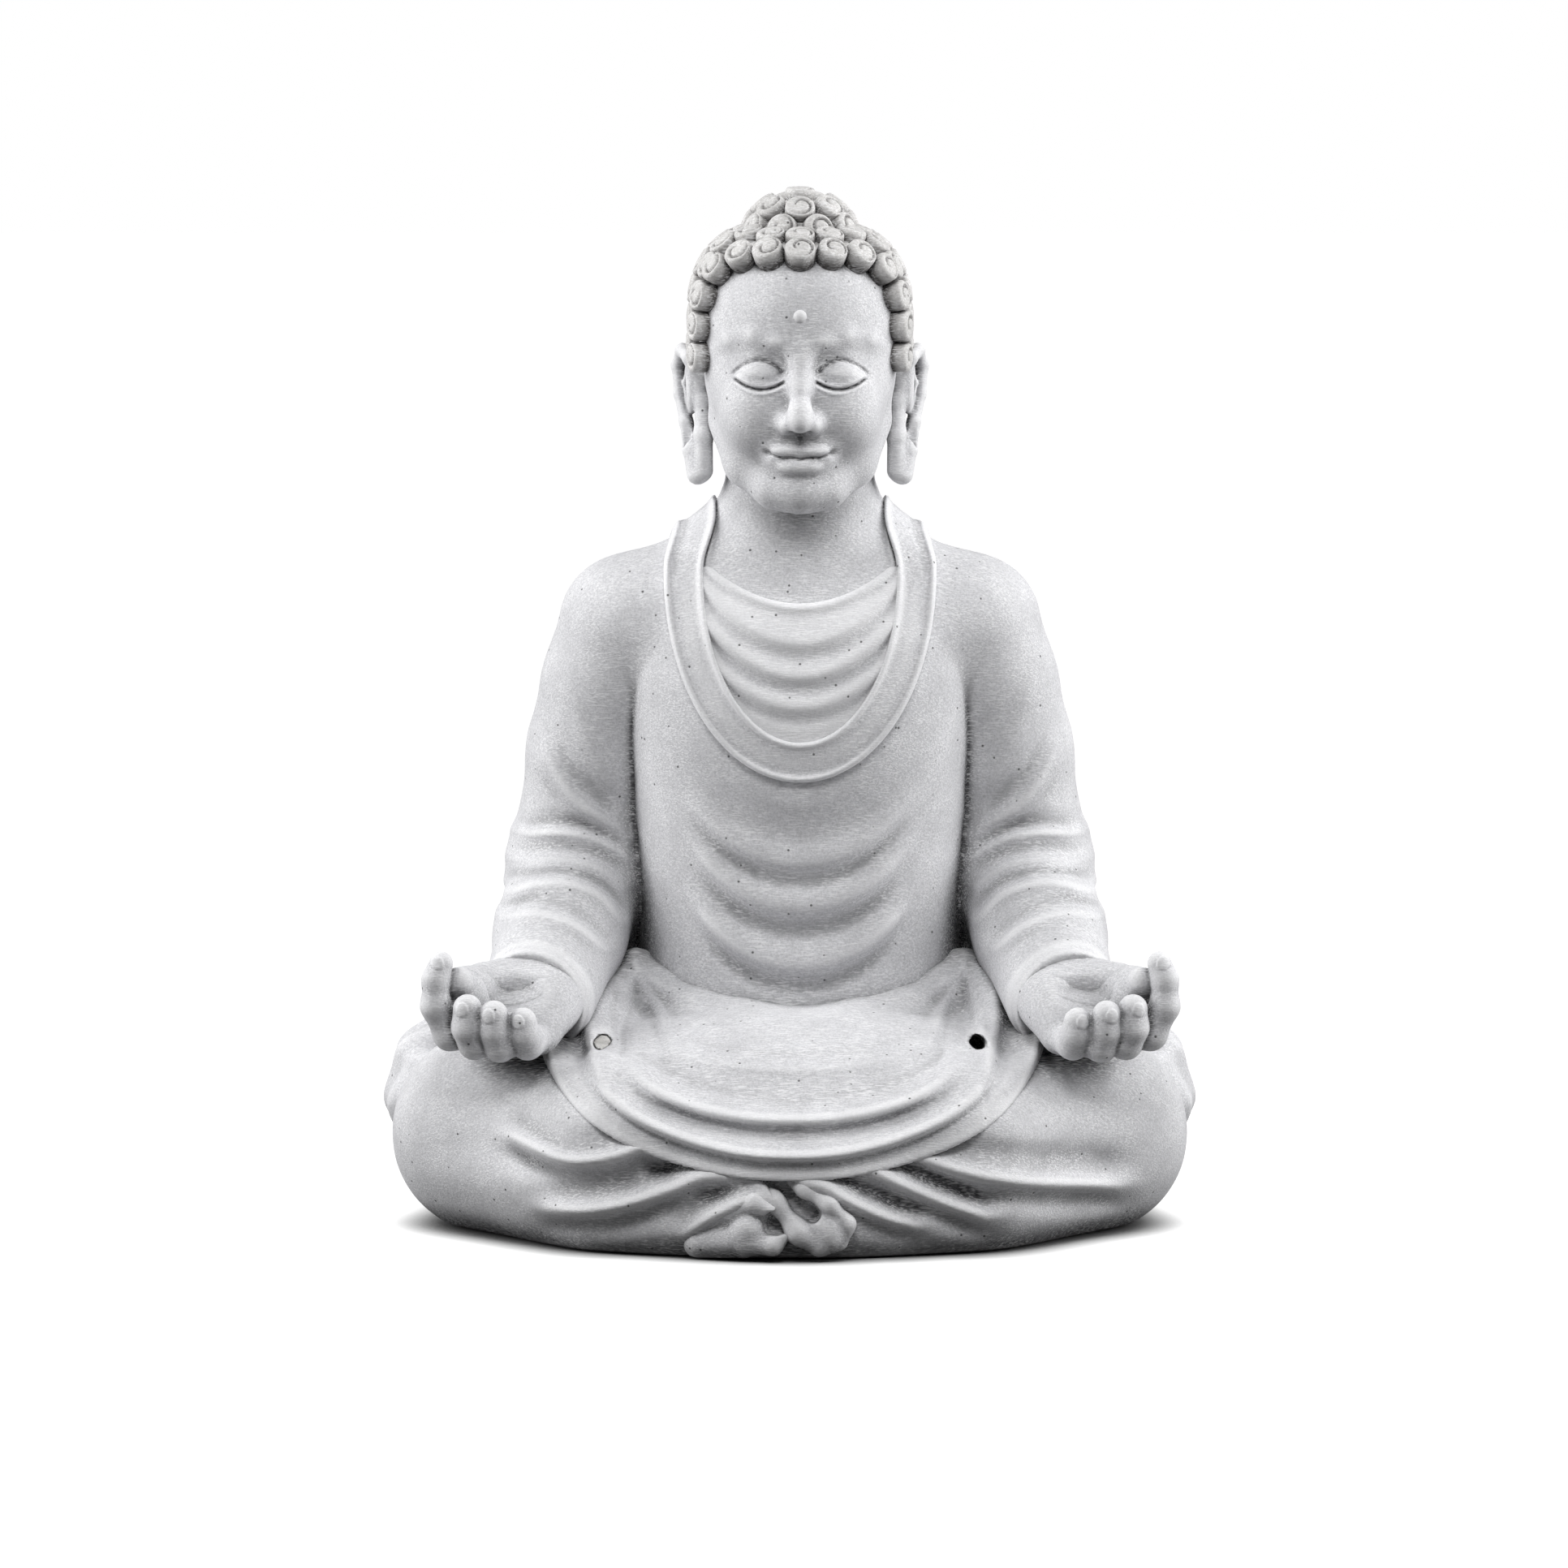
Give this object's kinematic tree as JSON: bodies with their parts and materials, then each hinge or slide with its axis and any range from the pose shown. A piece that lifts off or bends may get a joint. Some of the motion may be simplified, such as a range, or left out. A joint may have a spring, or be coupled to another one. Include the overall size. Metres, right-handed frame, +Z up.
{
  "type": "seated buddha statue",
  "caption": "Cross-legged meditating Buddha in pale cast stone, hands palm up on the knees, with curled hair, long ears, draped robe and a flat base to rest on.",
  "frame": {"origin": "on the ground, in the middle of the statue's bounding box", "axes": "+Z up, the statue faces -Y, its left hand is at +X"},
  "size_m": [0.3918, 0.2895, 0.5],
  "materials": {
    "cast_stone": "matt pale grey fibre cement with dark wash in the creases",
    "cast_stone_hair": "matt grey fibre cement, a little warmer and darker",
    "mortar": "rubbed-down pale mortar",
    "backing_board": "rough grey fibre-cement board",
    "steel": "zinc-plated steel",
    "brass": "dull turned brass"
  },
  "bodies": {
    "root": {"leg_casting": "cast_stone", "torso_casting": "cast_stone", "left_arm": "cast_stone", "right_arm": "cast_stone", "left_hand": "cast_stone", "right_hand": "cast_stone", "head_casting": "cast_stone", "hair_cap": "cast_stone_hair", "hair_curls": "cast_stone_hair", "urna_bead": "cast_stone", "left_ear": "cast_stone", "right_ear": "cast_stone", "collar_band": "cast_stone", "inner_robe_panel": "cast_stone", "lap_apron": "cast_stone", "hem_scroll": "cast_stone", "hem_tongue": "cast_stone", "left_knee_drape": "cast_stone", "right_knee_drape": "cast_stone", "apron_plug": "mortar", "base_plate": "backing_board", "base_screws": "steel", "base_inserts": "brass", "armature_rod": "steel", "armature_washer": "steel", "armature_nut": "steel", "shoulder_dowels": "steel", "wrist_dowels": "steel", "waist_dowels": "steel"}
  },
  "joints": []
}
